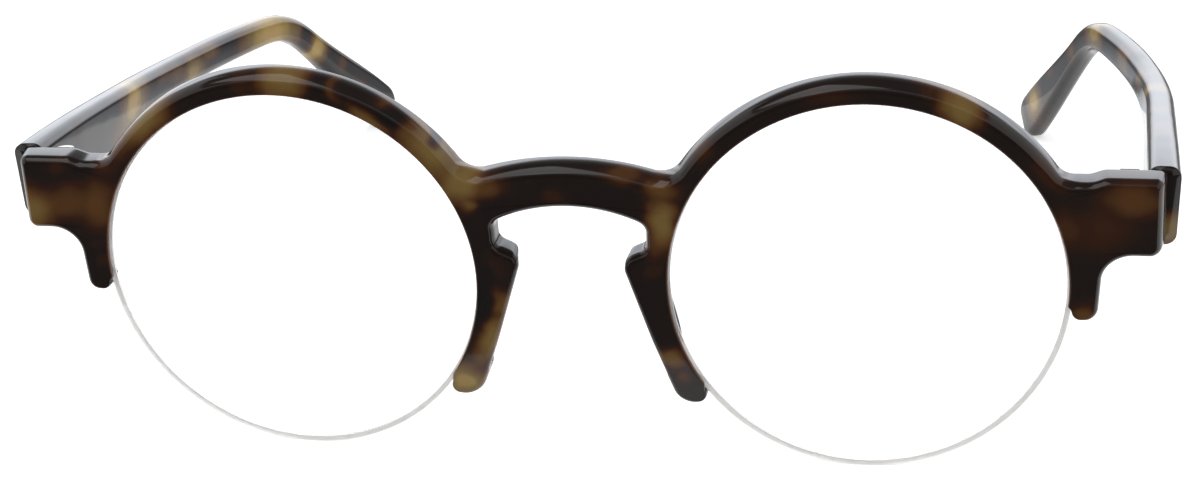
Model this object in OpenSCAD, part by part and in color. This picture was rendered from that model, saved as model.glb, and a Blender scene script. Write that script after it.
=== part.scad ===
// Browline glasses: an acetate front with a keyhole bridge, two lenses held by a liner above and
// a nylon cord below, and two acetate temples on five-barrel hinges. Millimetres.
// Every piece is drawn in the frame of the front: x to the wearer's left, y back from the front
// face, z up along the front. The last step leans the whole pair until it stands on a table.

/* [Lenses] */
// Distance of each lens centre from the middle of the front
lens_x = 35.1; // [33:0.1:37]
// Half width of a lens
lens_a = 23.8; // [22:0.1:24.5]
// Height of a lens above its centre
lens_up = 24.0; // [22:0.1:24.5]
// Height of a lens below its centre
lens_down = 24.9; // [22:0.1:26]
// Thickness of a lens
lens_t = 2.0; // [1.6:0.1:2.4]
// Radius of the lens faces
lens_curve = 150; // [130:10:400]
// Depth of the middle of the lens edge behind the front face
lens_y = 1.7; // [1.5:0.1:2.2]

/* [Front] */
// Thickness of the front
front_t = 4.0; // [3.6:0.1:4.6]
// Radius of the polished edges
edge_r = 0.8; // [0.4:0.1:0.8]
// Outer radius of the rims
rim_r = 26.25; // [25.8:0.05:26.8]
// Top of the bridge above the lens centres
bridge_top = 15.0; // [14:0.1:16]
// Radius of the bridge's top line
bridge_r = 36; // [28:1:50]
// Radius of the hollow between the bridge and a rim
valley_r = 3.0; // [2:0.1:4]
// Top of the keyhole above the lens centres
key_top = 9.6; // [8.5:0.1:10.5]
// Radius of the keyhole's top line
key_r = 20; // [18:1:26]
// Top of the lugs above the lens centres
lug_top = 14.7; // [14.4:0.1:15.2]
// Underside of the lugs above the lens centres
lug_low = 5.1; // [4.6:0.1:5.6]
// Outer edge of the lugs on the front face
lug_x = 68.3; // [67.8:0.1:69]
// How far the lugs flare out from the front face to the back
lug_flare = 1.0; // [0:0.1:1.2]
// How far the nose limbs open from the front face to the back
nose_splay = 0.9; // [0:0.1:1.2]

/* [Temples] */
// Length of a temple along its middle
temple_len = 139; // [134:1:148]
// Distance from the hinge end to the middle of the ear bend
bend_at = 98.8; // [92:0.2:104]
// Length of the ear bend
bend_len = 18; // [14:1:26]
// Slope of a temple down from the front's own square
pitch = 9.4; // [7:0.2:12]
// Further slope behind the ear bend
drop = 35; // [28:0.5:38]
// Turn outward at the hinge
splay = 5; // [3:0.5:6]
// Turn inward at the ear
bow = 17; // [12:0.5:18]
// Outer face of the temple at the hinge
temple_x = 70.4; // [70:0.1:70.8]
// Height at the hinge, at mid length, at the ear bend and at the tip
temple_h = [9.7, 4.9, 4.3, 7.6]; // [3:0.1:11]
// Thickness at the hinge and at the tip
temple_t = [3.8, 3.3]; // [2.8:0.1:4.4]

/* [Hinges] */
// Radius of a barrel
barrel_r = 1.45; // [1.3:0.05:1.6]
// Height of one barrel
barrel_h = 1.1; // [0.9:0.05:1.2]
// Radius of the screw
screw_r = 0.6; // [0.5:0.05:0.7]
// Thickness of the plates let into the acetate
plate_t = 1.0; // [0.8:0.1:1.2]

/* [Lens mounting] */
// Diameter of the nylon cord under a lens
cord_d = 0.6; // [0.5:0.05:0.7]
// Width of the slots in the rim and round the lens edge
slot_w = 0.7; // [0.65:0.05:0.8]
// Depth of the slot in the rim
rim_slot = 1.0; // [0.8:0.1:1.1]
// Depth of the slot round the lens edge
lens_slot = 0.65; // [0.6:0.05:0.8]

/* [Hidden] */
tortoise = [0.20, 0.12, 0.08];
clear = [0.86, 0.90, 0.92, 0.45];
steel = [0.70, 0.70, 0.72];
gap = 0.05;
lens_clear = 0.06;

// Where the lens curve meets the acetate: the end of the spike and the end of the nose limb
spike_t = -4.5;
nose_t = 216;

function unit(v) = v / norm(v);
function arc(c, r, a0, a1, n) =
    [for (i = [0:n]) let (a = a0 + (a1 - a0) * i / n) c + r * [cos(a), sin(a)]];

// The rounding of the corner p between the points before and after it
function corner(before, p, after, r, n = 4) =
    let (u = unit(before - p), v = unit(after - p), half = acos(u * v) / 2)
    let (c = p + unit(u + v) * r / sin(half), s = p + u * r / tan(half), e = p + v * r / tan(half))
    let (a0 = atan2(s[1] - c[1], s[0] - c[0]), a1 = atan2(e[1] - c[1], e[0] - c[0]))
    arc(c, r, a0, a0 + (a1 - a0 + 540) % 360 - 180, n);

// A path of straight runs whose inner corners are rounded. Each corner is [x, z, radius, steps,
// t0, t1], where t0 to t1 is the stretch of the lens curve that faces it, in degrees
function rounded(first, corners, last) =
    let (p = concat([first], [for (c = corners) [c[0], c[1]]], [last]))
    [for (i = [0:len(corners) - 1])
        each corner(p[i], p[i + 1], p[i + 2], corners[i][2], corners[i][3])];
function facing(corners) = [for (c = corners) each spread(c[4], c[5], c[3])];
function spread(t0, t1, n) = [for (i = [0:n]) t0 + (t1 - t0) * i / n];
function tail(v) = [for (i = [1:len(v) - 1]) v[i]];

// Where two circles meet, on the upper side
function circles_meet(c1, r1, c2, r2) =
    let (d = norm(c2 - c1), u = (c2 - c1) / d, a = (r1 * r1 - r2 * r2 + d * d) / (2 * d))
    c1 + u * a + [-u[1], u[0]] * sqrt(r1 * r1 - a * a);

// The lens edge: two half ellipses, deeper below the centre line than above it
function lens_point(t, grow = 0) =
    [lens_x + (lens_a + grow) * cos(t), ((sin(t) > 0 ? lens_up : lens_down) + grow) * sin(t)];

// The outer line of half the front, from the tip of the spike round the lug and over the rim to
// the middle of the bridge, then from the keyhole down the nose limb. Each stretch of it faces a
// stretch of the lens curve, so that the two lines close into a band.
crest = [0, bridge_top - bridge_r];
rim = [lens_x, 0];
valley = circles_meet(crest, bridge_r + valley_r, rim, rim_r + valley_r);
crest_end = atan2(valley[1] - crest[1], valley[0] - crest[0]);
valley_end = atan2(rim[1] - valley[1], rim[0] - valley[0]) + 360;
lug_valley_r = 2.6;
lug_valley_z = lug_top - 0.6;
lug_valley_x = lens_x + sqrt(pow(rim_r + lug_valley_r, 2) - pow(lug_valley_z + lug_valley_r, 2));
rim_end = atan2(lug_valley_z + lug_valley_r, lug_valley_x - lens_x);
lug_corners = [[58.8, -3.3, 0.8, 2, spike_t, -3], [61.9, -3.4, 1.5, 4, -2, 0],
    [62.15, lug_low, 3.3, 5, 2, 12.5], [lug_x, lug_low, 1.2, 3, 14.5, 17],
    [lug_x - 0.4, lug_top, 1.0, 3, 21, 25], [61.8, lug_top, 2, 1, 28, 29.5],
    [60.3, lug_valley_z, 2, 1, 30.5, 32]];
upper_line = concat(
    rounded(lens_point(spike_t), lug_corners, [lug_valley_x, lug_valley_z]),
    arc([lug_valley_x, lug_valley_z + lug_valley_r], lug_valley_r, 270, rim_end + 180, 3),
    tail(arc(rim, rim_r, rim_end, valley_end - 180, 15)),
    tail(arc(valley, valley_r, valley_end, crest_end + 180, 4)),
    tail(arc(crest, bridge_r, crest_end, 90, 4)));
upper_faces = concat(facing(lug_corners), spread(33, rim_end, 3),
    tail(spread(rim_end, valley_end - 180, 15)), tail(spread(valley_end - 180, 149, 4)),
    tail(spread(149, 153, 4)));
key_end = 7.9;
key_end_z = key_top - key_r + sqrt(key_r * key_r - key_end * key_end);
nose_corners = [[9.2, 7.35, 1.5, 3, 161.5, 164], [9.15, 4.1, 1.3, 3, 167, 171],
    [5.8, 2.6, 1.8, 4, 173, 180], [9.2, -8.2, 30, 1, 195, 199], [12.6, -17.15, 2.6, 4, 205, 211],
    [17.0, -16.2, 0.9, 3, 212.5, nose_t]];
lower_line = concat(
    arc([0, key_top - key_r], key_r, 90, acos(key_end / key_r), 4),
    rounded([key_end, key_end_z], nose_corners, lens_point(nose_t)));
lower_faces = concat(spread(155, 160, 4), facing(nose_corners));

// Long stretches get points in between, so that the slot follows the lens curve closely
function cuts(faces, k) = ceil(abs(faces[k + 1] - faces[k]) / 5.5);
function refined(v, faces) = concat(
    [for (k = [0:len(v) - 2]) each let (n = cuts(faces, k))
        [for (i = [0:n - 1]) v[k] + (v[k + 1] - v[k]) * i / n]],
    [v[len(v) - 1]]);
outer_upper = refined(upper_line, upper_faces);
outer = concat(outer_upper, refined(lower_line, lower_faces));
inner = concat(refined(upper_faces, upper_faces), refined(lower_faces, lower_faces));
band_n = len(outer);
middle = len(outer_upper) - 1;

// Directions into the acetate, square to the outer line
function inward(k) =
    k == middle ? [0, -1] : k == middle + 1 ? [0, 1] :
    let (a = k == 0 ? lens_point(inner[0]) : outer[k - 1])
    let (b = k == band_n - 1 ? lens_point(inner[k]) : outer[k + 1])
    unit([a[1] - b[1], b[0] - a[0]]);
inwards = [for (k = [0:band_n - 1]) inward(k)];

// Layers of the front from its face to its back: [y, how far the edge is drawn in, slot or not]
front_layers = concat(
    [for (a = [0, 45, 90]) [edge_r * (1 - cos(a)), edge_r * (1 - sin(a)), 0]],
    [for (k = [0, 1]) [lens_y - slot_w / 2, 0, k]],
    [for (k = [1, 0]) [lens_y + slot_w / 2, 0, k]],
    [for (a = [90, 45, 0]) [front_t - edge_r * (1 - cos(a)), edge_r * (1 - sin(a)), 0]]);

// The lugs widen towards the back, and the nose limbs open towards the face
flare_x = 62;
flare_low = -16;
flare_high = 3.4;
function on_nose_edge(p) = p[0] < 11.2 && p[1] > flare_low && p[1] < flare_high
    && norm(p - rim) > lens_a + 1.5;
function flare(p, y) = y / front_t
    * (p[1] > 0 && p[0] > flare_x ? lug_flare * min(1, (p[0] - flare_x) / 4)
    : on_nose_edge(p) ? nose_splay * min(1, (p[1] - flare_low) / 8, (flare_high - p[1]) / 1.5) : 0);

layer_n = len(front_layers);
function slot_depth(k) = rim_slot * (k == 0 || k == band_n - 1 ? 0.5 : 1);
function placed(p, y, side) = [side * (p[0] + flare(p, y)), y, p[1]];
function band_points(layer, side) = concat(
    [for (k = [0:band_n - 1]) placed(outer[k] + inwards[k] * layer[1], layer[0], side)],
    [for (k = [0:band_n - 1]) let (depth = layer[1] + slot_depth(k) * layer[2])
        placed(lens_point(inner[k], lens_clear) + lens_normal(inner[k]) * depth, layer[0], side)]);

// One closed body: layers of the band, mirrored, the two halves sharing the middle of the bridge
module front_plate() {
    function at(side, j, line, k) = let (mid = line == 0 && (k == middle || k == middle + 1))
        ((mid ? 0 : side) * layer_n + j) * 2 * band_n + line * band_n + k;
    function turned(side, f) = side == 0 ? f : [for (i = [len(f) - 1:-1:0]) f[i]];
    polyhedron(
        points = [for (side = [1, -1]) for (layer = front_layers) each band_points(layer, side)],
        faces = [for (side = [0, 1]) each [for (f = concat(
            [for (k = [0:band_n - 2]) each [
                [at(side, 0, 0, k), at(side, 0, 1, k), at(side, 0, 0, k + 1)],
                [at(side, 0, 1, k), at(side, 0, 1, k + 1), at(side, 0, 0, k + 1)]]],
            [for (k = [0:band_n - 2]) let (j = layer_n - 1) each [
                [at(side, j, 0, k), at(side, j, 0, k + 1), at(side, j, 1, k)],
                [at(side, j, 1, k), at(side, j, 0, k + 1), at(side, j, 1, k + 1)]]],
            [for (j = [0:layer_n - 2]) for (k = [0:band_n - 2]) if (k != middle)
                [at(side, j, 0, k), at(side, j, 0, k + 1),
                    at(side, j + 1, 0, k + 1), at(side, j + 1, 0, k)]],
            [for (j = [0:layer_n - 2]) for (k = [0:band_n - 2])
                [at(side, j, 1, k), at(side, j + 1, 1, k),
                    at(side, j + 1, 1, k + 1), at(side, j, 1, k + 1)]],
            [for (j = [0:layer_n - 2])
                [at(side, j, 1, 0), at(side, j, 0, 0), at(side, j + 1, 0, 0), at(side, j + 1, 1, 0)]],
            [for (j = [0:layer_n - 2]) let (k = band_n - 1)
                [at(side, j, 0, k), at(side, j, 1, k), at(side, j + 1, 1, k), at(side, j + 1, 0, k)]]))
            turned(side, f)]],
        convexity = 12);
}

// A closed skin over a list of rings, each with the same number of points
module skin(rings) {
    n = len(rings[0]);
    last = len(rings) - 1;
    polyhedron(
        points = [for (r = rings) each r],
        faces = concat(
            [[for (i = [0:n - 1]) i]],
            [for (j = [0:last - 1]) for (i = [0:n - 1])
                [j * n + i, (j + 1) * n + i, (j + 1) * n + (i + 1) % n, j * n + (i + 1) % n]],
            [[for (i = [n - 1:-1:0]) last * n + i]]),
        convexity = 12);
}

// Lens: its two faces are parts of spheres and a slot runs round its edge
lens_n = 52;
lens_front_y = lens_y - lens_t / 2;
function bulge(p, k) = (1 - k * k) * pow(norm(p - rim), 2) / (2 * lens_curve);
function lens_ring(k, y, grow = 0) = [for (i = [0:lens_n - 1])
    let (t = -360 * i / lens_n, e = lens_point(t), p = rim + (lens_point(t, grow) - rim) * k)
    [p[0], y - bulge(e, k), p[1]]];
face_steps = [0.2, 0.45, 0.7, 0.87, 1];
lens_rings = concat(
    [for (k = face_steps) lens_ring(k, lens_front_y)],
    [for (g = [0, -lens_slot]) lens_ring(1, lens_y - slot_w / 2, g)],
    [for (g = [-lens_slot, 0]) lens_ring(1, lens_y + slot_w / 2, g)],
    [for (i = [len(face_steps) - 1:-1:0]) lens_ring(face_steps[i], lens_front_y + lens_t)]);

// A bar of constant section laid along the lens curve, from angle t0 to t1
function lens_normal(t) = unit([cos(t) / lens_a, sin(t) / (sin(t) > 0 ? lens_up : lens_down)]);
function along_lens(section, t0, t1, n, lift_end = 0) = [for (i = [0:n])
    let (t = t0 + (t1 - t0) * i / n, m = lens_normal(t), c = lens_point(t))
    let (rise = lift_end * (i == 0 || i == n ? 1 : i == 1 || i == n - 1 ? 0.5 : 0))
    [for (s = section) [c[0] + m[0] * (s[0] + rise), lens_y + s[1], c[1] + m[1] * (s[0] + rise)]]];

liner_w = slot_w - 2 * gap;
liner_in = gap - lens_slot;
liner_out = lens_clear + rim_slot - 2 * gap;
liner_section = [[liner_in, liner_w / 2], [liner_in, -liner_w / 2],
    [liner_out, -liner_w / 2], [liner_out, liner_w / 2]];
liner_rings = along_lens(liner_section, 8, 200, 36);
cord_section = [for (p = arc([cord_d / 2 - lens_slot + gap / 2, 0], cord_d / 2, 0, 315, 7)) p];
cord_rings = along_lens(cord_section, 209, 361, 34, lens_slot + 0.2);

// Temple: a bar swept along a bowed and bent line
temple_start = [temple_x - temple_t[0] / 2, front_t + 0.2, (lug_top + lug_low) / 2];
bow_from = 40;
bow_to = 110;
tip_r = temple_h[3] / 2;
bend_from = bend_at - bend_len / 2;
straight_end = temple_len - tip_r;
stations = concat([0, 2.5], [for (i = [1:6]) bend_from * i / 7],
    [for (i = [0:6]) bend_from + bend_len * i / 6],
    [for (i = [1:3]) bend_from + bend_len + (straight_end - bend_from - bend_len) * i / 3],
    [for (q = [0.45, 0.75, 0.93, 1]) straight_end + tip_r * q]);
function smooth(u) = let (v = max(0, min(1, u))) v * v * (3 - 2 * v);
function yaw(s) = splay - (splay + bow) * max(0, min(1, (s - bow_from) / (bow_to - bow_from)));
function slope(s) = pitch + drop * smooth((s - bend_from) / bend_len);
function heading(s) = [sin(yaw(s)) * cos(slope(s)), cos(yaw(s)) * cos(slope(s)), -sin(slope(s))];
temple_line = [for (i = 0, p = temple_start; i < len(stations);
    i = i + 1, p = i < len(stations) ? p + heading((stations[i - 1] + stations[i]) / 2)
        * (stations[i] - stations[i - 1]) : p) p];
slim_at = bend_at + 6;
function height(s) = s < temple_len / 2
    ? temple_h[0] + (temple_h[1] - temple_h[0]) * smooth(2 * s / temple_len)
    : s < slim_at
    ? temple_h[1] + (temple_h[2] - temple_h[1]) * smooth((s - temple_len / 2) / (slim_at - temple_len / 2))
    : temple_h[2] + (temple_h[3] - temple_h[2]) * smooth((s - slim_at) / (straight_end - slim_at));
function thick(s) = temple_t[0] + (temple_t[1] - temple_t[0]) * s / temple_len;

// A rounded oblong, w wide and h high, as 16 points
function oblong(w, h, r) = concat(
    arc([w / 2 - r, h / 2 - r], r, 90, 0, 3), arc([w / 2 - r, r - h / 2], r, 0, -90, 3),
    arc([r - w / 2, r - h / 2], r, -90, -180, 3), arc([r - w / 2, h / 2 - r], r, 180, 90, 3));

// Lays a section across the temple line at station i; the first ring is cut square to the front
function across(i, section) =
    let (s = stations[i], t = heading(s), n = [cos(yaw(s)), -sin(yaw(s)), 0], u = cross(n, t))
    [for (q = section) let (p = temple_line[i] + n * q[0] + u * q[1])
        i == 0 ? p + t * ((temple_start[1] - p[1]) / t[1]) : p];
function taper(i) = let (q = max(0, (stations[i] - straight_end) / tip_r)) sqrt(max(0.03, 1 - q * q));
temple_rings = [for (i = [0:len(stations) - 1])
    let (w = thick(stations[i]) * (0.4 + 0.6 * taper(i)), h = height(stations[i]) * taper(i))
    across(i, oblong(w, h, min(1.1, w / 2.2, h / 2.2)))];
wire_last = len(stations) - 6;
function wire_rings(w, h) = [for (i = [1:wire_last]) across(i, [[w / 2, h / 4], [w / 2, -h / 4],
    [0, -h / 2], [-w / 2, -h / 4], [-w / 2, h / 4], [0, h / 2]])];
wire_t = 1.1;
wire_h = 2.2;

// The lean that lets the lens edges and the temple tips touch a table together
temple_points = [for (r = temple_rings) each r];
lean = max([for (p = temple_points) atan2(-lens_down - p[2], p[1] - lens_front_y)]);
lift = lens_down * cos(lean) - lens_front_y * sin(lean);
fore_y = -(rim_r - edge_r) * sin(lean);
back_y = max([for (p = temple_points) p[1] * cos(lean) - p[2] * sin(lean)]);
module standing() {
    translate([0, -(fore_y + back_y) / 2, lift]) rotate([lean, 0, 0]) children();
}
module on_side(s) {
    standing() mirror([s > 0 ? 0 : 1, 0, 0]) children();
}

// Hinge: its axis is square to the straight run of the temple
hinge_gap = 0.25;
step = barrel_h + 0.06;
hinge_at = [temple_x - temple_t[0] - barrel_r - hinge_gap, front_t + barrel_r + 0.8, temple_start[2]];
anchor_y = -barrel_r - 0.45;
leaf_z = 5 * step / 2;
plate_x = barrel_r + 0.3;
module at_hinge() {
    translate(hinge_at) rotate([-pitch, 0, 0]) children();
}
// The barrels at the given places in the stack, each with a neck that runs to its plate
module barrels(places, reach, turn, bore_r) {
    for (k = places) translate([0, 0, (k - 2) * step - barrel_h / 2]) difference() {
        union() {
            cylinder(r = barrel_r, h = barrel_h, $fn = 40);
            rotate([0, 0, turn]) translate([0, -barrel_r, 0]) cube([reach, 2 * barrel_r, barrel_h]);
        }
        translate([0, 0, -1]) cylinder(r = bore_r, h = barrel_h + 2, $fn = 40);
    }
}
module anchor(grow = 0) {
    translate([-1.9 - grow, anchor_y - 2 - grow, -leaf_z - grow])
        cube([3.35 + 2 * grow, 2.2 + grow, 2 * leaf_z + 2 * grow]);
}
module temple_plate(grow = 0) {
    rotate([0, 0, -splay]) translate([plate_x - grow, -barrel_r - grow, -leaf_z - grow])
        cube([plate_t + 2 * grow, 9.5 + 2 * grow, 2 * leaf_z + 2 * grow]);
}

module front() {
    color(tortoise) standing() difference() {
        front_plate();
        for (s = [0, 1]) mirror([s, 0, 0]) at_hinge() anchor(gap);
    }
}

module nose_pad(s) {
    color(tortoise) on_side(s) difference() {
        hull() {
            translate([9.1, 4.5, 0.8]) sphere(r = 1.9, $fn = 16);
            translate([10.1, 4.7, -3.6]) sphere(r = 2.0, $fn = 16);
            translate([11.9, 4.2, -9.6]) sphere(r = 1.5, $fn = 16);
        }
        translate([0, front_t - 9.99, -20]) cube([20, 10, 30]);
    }
}

module lens(s) {
    color(clear) on_side(s) skin(lens_rings);
}

module rim_liner(s) {
    color(clear) on_side(s) skin(liner_rings);
}

module nylon_cord(s) {
    color(clear) on_side(s) skin(cord_rings);
}

module front_hinge_leaf(s) {
    color(steel) on_side(s) at_hinge() {
        barrels([0, 2, 4], -anchor_y + 0.1, -90, screw_r + 0.02);
        anchor();
    }
}

module hinge_screw(s) {
    color(steel) on_side(s) at_hinge() {
        translate([0, 0, -leaf_z]) cylinder(r = screw_r, h = 2 * leaf_z + 0.1, $fn = 40);
        difference() {
            translate([0, 0, leaf_z + 0.02]) cylinder(r = 1.1, h = 0.45, $fn = 40);
            translate([-1.5, -0.15, leaf_z + 0.27]) cube([3, 0.3, 1]);
        }
    }
}

module temple(s) {
    color(tortoise) on_side(s) difference() {
        skin(temple_rings);
        skin(wire_rings(wire_t + 2 * gap, wire_h + 2 * gap));
        at_hinge() temple_plate(gap);
    }
}

module temple_hinge_leaf(s) {
    color(steel) on_side(s) at_hinge() {
        rotate([0, 0, -splay]) barrels([1, 3], plate_x + 0.1, 0, screw_r + 0.04);
        temple_plate();
    }
}

module core_wire(s) {
    color(steel) on_side(s) skin(wire_rings(wire_t, wire_h));
}

front();
nose_pad(1);  // nose_pad_left
nose_pad(-1);  // nose_pad_right
lens(1);  // lens_left
lens(-1);  // lens_right
rim_liner(1);  // rim_liner_left
rim_liner(-1);  // rim_liner_right
nylon_cord(1);  // nylon_cord_left
nylon_cord(-1);  // nylon_cord_right
front_hinge_leaf(1);  // front_hinge_leaf_left
front_hinge_leaf(-1);  // front_hinge_leaf_right
hinge_screw(1);  // hinge_screw_left
hinge_screw(-1);  // hinge_screw_right
temple(1);  // temple_left
temple(-1);  // temple_right
temple_hinge_leaf(1);  // temple_hinge_leaf_left
temple_hinge_leaf(-1);  // temple_hinge_leaf_right
core_wire(1);  // core_wire_left
core_wire(-1);  // core_wire_right
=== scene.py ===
# Round browline glasses in tortoise acetate, standing open on a pale table.
# Lengths are in millimetres until a mesh is made; the scene itself is in metres.
import math

import bmesh
import bpy
import numpy as np
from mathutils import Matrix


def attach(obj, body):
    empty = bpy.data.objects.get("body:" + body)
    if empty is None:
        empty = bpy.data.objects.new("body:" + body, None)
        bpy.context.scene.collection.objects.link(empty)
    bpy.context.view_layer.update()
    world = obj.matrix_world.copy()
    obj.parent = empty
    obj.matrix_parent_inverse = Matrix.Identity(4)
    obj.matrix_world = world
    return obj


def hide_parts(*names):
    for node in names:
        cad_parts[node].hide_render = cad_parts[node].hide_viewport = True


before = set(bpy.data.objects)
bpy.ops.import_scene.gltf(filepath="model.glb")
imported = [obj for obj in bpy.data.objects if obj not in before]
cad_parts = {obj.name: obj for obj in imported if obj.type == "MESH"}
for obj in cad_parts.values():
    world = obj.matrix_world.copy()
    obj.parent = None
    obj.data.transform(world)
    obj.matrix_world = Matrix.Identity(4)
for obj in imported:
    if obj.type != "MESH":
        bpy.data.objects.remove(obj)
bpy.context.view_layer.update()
bpy.context.scene.view_settings.view_transform = "Standard"


# Table, light and camera.
# The pair stands on a white table under a long soft light behind it, as glossy black acetate is
# photographed, with painted reflections of dark cloth in front, glowing cards that only reflections
# see, so that the polished faces stay deep.
def linear(code):
    """sRGB hex code as a linear colour: the usual 2.4 power curve, value by value."""
    c = np.array([int(code[i:i + 2], 16) for i in (1, 3, 5)]) / 255
    return tuple(np.where(c > 0.04045, ((c + 0.055) / 1.055) ** 2.4, c / 12.92)) + (1.0,)


def add_node(tree, kind, inputs=None, **settings):
    """Adds a node; each input is a value, or a socket that is linked to it."""
    node = tree.nodes.new(kind)
    for name, value in settings.items():
        setattr(node, name, value)
    for name, value in (inputs or {}).items():
        if isinstance(value, bpy.types.NodeSocket):
            tree.links.new(value, node.inputs[name])
        else:
            node.inputs[name].default_value = value
    return node


def blank_material(name):
    """A new node material with nothing in its tree, and that tree."""
    material = bpy.data.materials.new(name)
    material.use_nodes = True
    material.node_tree.nodes.clear()
    return material, material.node_tree


def fill_ramp(ramp, stops):
    """Gives a colour ramp its stops, each (place along it, colour)."""
    while len(ramp.color_ramp.elements) < len(stops):
        ramp.color_ramp.elements.new(0.5)
    for element, (at, colour) in zip(ramp.color_ramp.elements, stops):
        element.position, element.color = at, colour


def seen_directly(tree):
    """1 for a ray from the camera, a mirror reflection or a view through glass, else 0."""
    path = add_node(tree, "ShaderNodeLightPath")
    either = add_node(tree, "ShaderNodeMath", {0: path.outputs["Is Camera Ray"],
                                               1: path.outputs["Is Glossy Ray"]}, operation="MAXIMUM")
    return add_node(tree, "ShaderNodeMath", {0: either.outputs[0],
                                             1: path.outputs["Is Transmission Ray"]},
                    operation="MAXIMUM").outputs[0]


world = bpy.data.worlds.new("white_room")
bpy.context.scene.world = world
world.use_nodes = True
world.node_tree.nodes.clear()
room_seen = add_node(world.node_tree, "ShaderNodeBackground", {"Color": (1, 1, 1, 1), "Strength": 1.0})
room_fill = add_node(world.node_tree, "ShaderNodeBackground",
                     {"Color": linear("#F4F6FA"), "Strength": 0.75})
room = add_node(world.node_tree, "ShaderNodeMixShader",
                {0: seen_directly(world.node_tree), 1: room_fill.outputs[0], 2: room_seen.outputs[0]})
add_node(world.node_tree, "ShaderNodeOutputWorld", {"Surface": room.outputs[0]})

table_paper, tree = blank_material("matt_white_table_paper")
lit = add_node(tree, "ShaderNodeBsdfDiffuse", {"Color": linear("#E4E4E2")})
lift = add_node(tree, "ShaderNodeEmission", {"Color": (1, 1, 1, 1), "Strength": 0.55})
lifted = add_node(tree, "ShaderNodeAddShader", {0: lit.outputs[0], 1: lift.outputs[0]})
paper = add_node(tree, "ShaderNodeMixShader",
                 {0: seen_directly(tree), 1: lit.outputs[0], 2: lifted.outputs[0]})
add_node(tree, "ShaderNodeOutputMaterial", {"Surface": paper.outputs[0]})


def stage_sheet(name, corners, material):
    """One flat four-cornered sheet of the set, corners in metres."""
    mesh = bpy.data.meshes.new(name)
    mesh.from_pydata([tuple(c) for c in corners], [], [(0, 1, 2, 3)])
    mesh.materials.append(material)
    sheet = bpy.data.objects.new(name, mesh)
    bpy.context.scene.collection.objects.link(sheet)
    return sheet


stage_sheet("table", [(-3, -3, 0), (3, -3, 0), (3, 3, 0), (-3, 3, 0)], table_paper)


# Painted reflections: glowing cards that only mirror reflections see, and that light nothing else. Dim
# ones stand in for dark cloth in front and overhead and keep the polished faces and rounded edges deep,
# a grey one behind dims the temples' inner faces, and a bright one paints the pale highlights on the
# tops.
def painted_reflection_card(name, corners, axis, start, end, strength, stops):
    """A glowing card that only mirror reflections see, a painted reflection that lights nothing else.
    Along one axis, between two places in metres, its glow follows the stops: (part of the way, part of
    the strength)."""
    material, tree = blank_material(name)
    place = add_node(tree, "ShaderNodeTexCoord")
    part = add_node(tree, "ShaderNodeSeparateXYZ", {0: place.outputs["Object"]})
    along = add_node(tree, "ShaderNodeMapRange", {0: part.outputs[axis], 1: start, 2: end})
    ramp = add_node(tree, "ShaderNodeValToRGB", {0: along.outputs[0]})
    fill_ramp(ramp, [(at, (glow, glow, glow, 1)) for at, glow in stops])
    power = add_node(tree, "ShaderNodeMath", {0: ramp.outputs[0], 1: strength}, operation="MULTIPLY")
    light = add_node(tree, "ShaderNodeEmission", {"Color": linear("#EEF3FA"),
                                                  "Strength": power.outputs[0]})
    add_node(tree, "ShaderNodeOutputMaterial", {"Surface": light.outputs[0]})
    card = stage_sheet(name, corners, material)
    card.visible_camera = card.visible_diffuse = card.visible_shadow = False
    card.visible_transmission = card.visible_volume_scatter = False


# Each of these cards is a painted reflection: it glows for mirror reflections only, and is neither a
# lamp nor real cloth.
painted_reflection_card("painted_reflection_velvet_on_table", [(-0.8, -0.6, 0.001), (0.8, -0.6, 0.001), (0.8, -0.083, 0.001),
                                   (-0.8, -0.083, 0.001)], "Y", -0.6, -0.083, 0.12, [(0, 0), (1, 1)])
painted_reflection_card("painted_reflection_velvet_upright", [(-0.8, -0.6, 0.001), (0.8, -0.6, 0.001), (0.8, -0.6, 0.9),
                                  (-0.8, -0.6, 0.9)], "Z", 0.35, 0.9, 0.55, [(0, 0), (1, 1)])
painted_reflection_card("painted_reflection_grey_cloth_behind", [(-0.3, 0.075, 0.001), (0.3, 0.075, 0.001), (0.3, 0.5, 0.001),
                                     (-0.3, 0.5, 0.001)], "Y", 0.075, 0.5, 0.9,
               [(0, 1), (0.12, 0.3), (0.5, 0.3), (1, 1)])
painted_reflection_card("painted_reflection_bright_card_behind", [(-0.9, 0.75, 0.02), (0.9, 0.75, 0.02), (0.9, 0.75, 1.2),
                                      (-0.9, 0.75, 1.2)], "Z", 0.02, 1.2, 4.4,
               [(0, 0.46), (0.07, 0.6), (0.24, 0.58), (0.36, 1), (0.47, 1), (0.55, 0.2),
                (0.7, 0.06), (1, 0.03)])
painted_reflection_card("painted_reflection_velvet_overhead", [(-1.2, -0.6, 1.2), (-1.2, 0.75, 1.2), (1.2, 0.75, 1.2),
                                   (1.2, -0.6, 1.2)], "Y", -0.6, 0.75, 0.2, [(0, 1), (1, 0.4)])


def soft_light(name, place, target, size, watts):
    """A soft box of size (width, height) in metres at place, turned to face target."""
    lamp = bpy.data.lights.new(name, "AREA")
    lamp.shape = "RECTANGLE"
    lamp.size, lamp.size_y = size
    lamp.energy = watts
    box = bpy.data.objects.new(name, lamp)
    box.location = place
    look = np.array(target, float) - np.array(place, float)
    box.rotation_euler = (math.atan2(math.hypot(look[0], look[1]), -look[2]), 0,
                          math.atan2(-look[0], look[1]))
    box.visible_camera = False
    bpy.context.scene.collection.objects.link(box)


soft_light("strip_light_behind", (0.05, 0.85, 0.4), (0, 0, 0.03), (1.3, 0.55), 2.0)
soft_light("soft_light_above", (-0.25, -0.15, 0.8), (0, 0, 0), (0.7, 0.5), 2.2)

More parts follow.
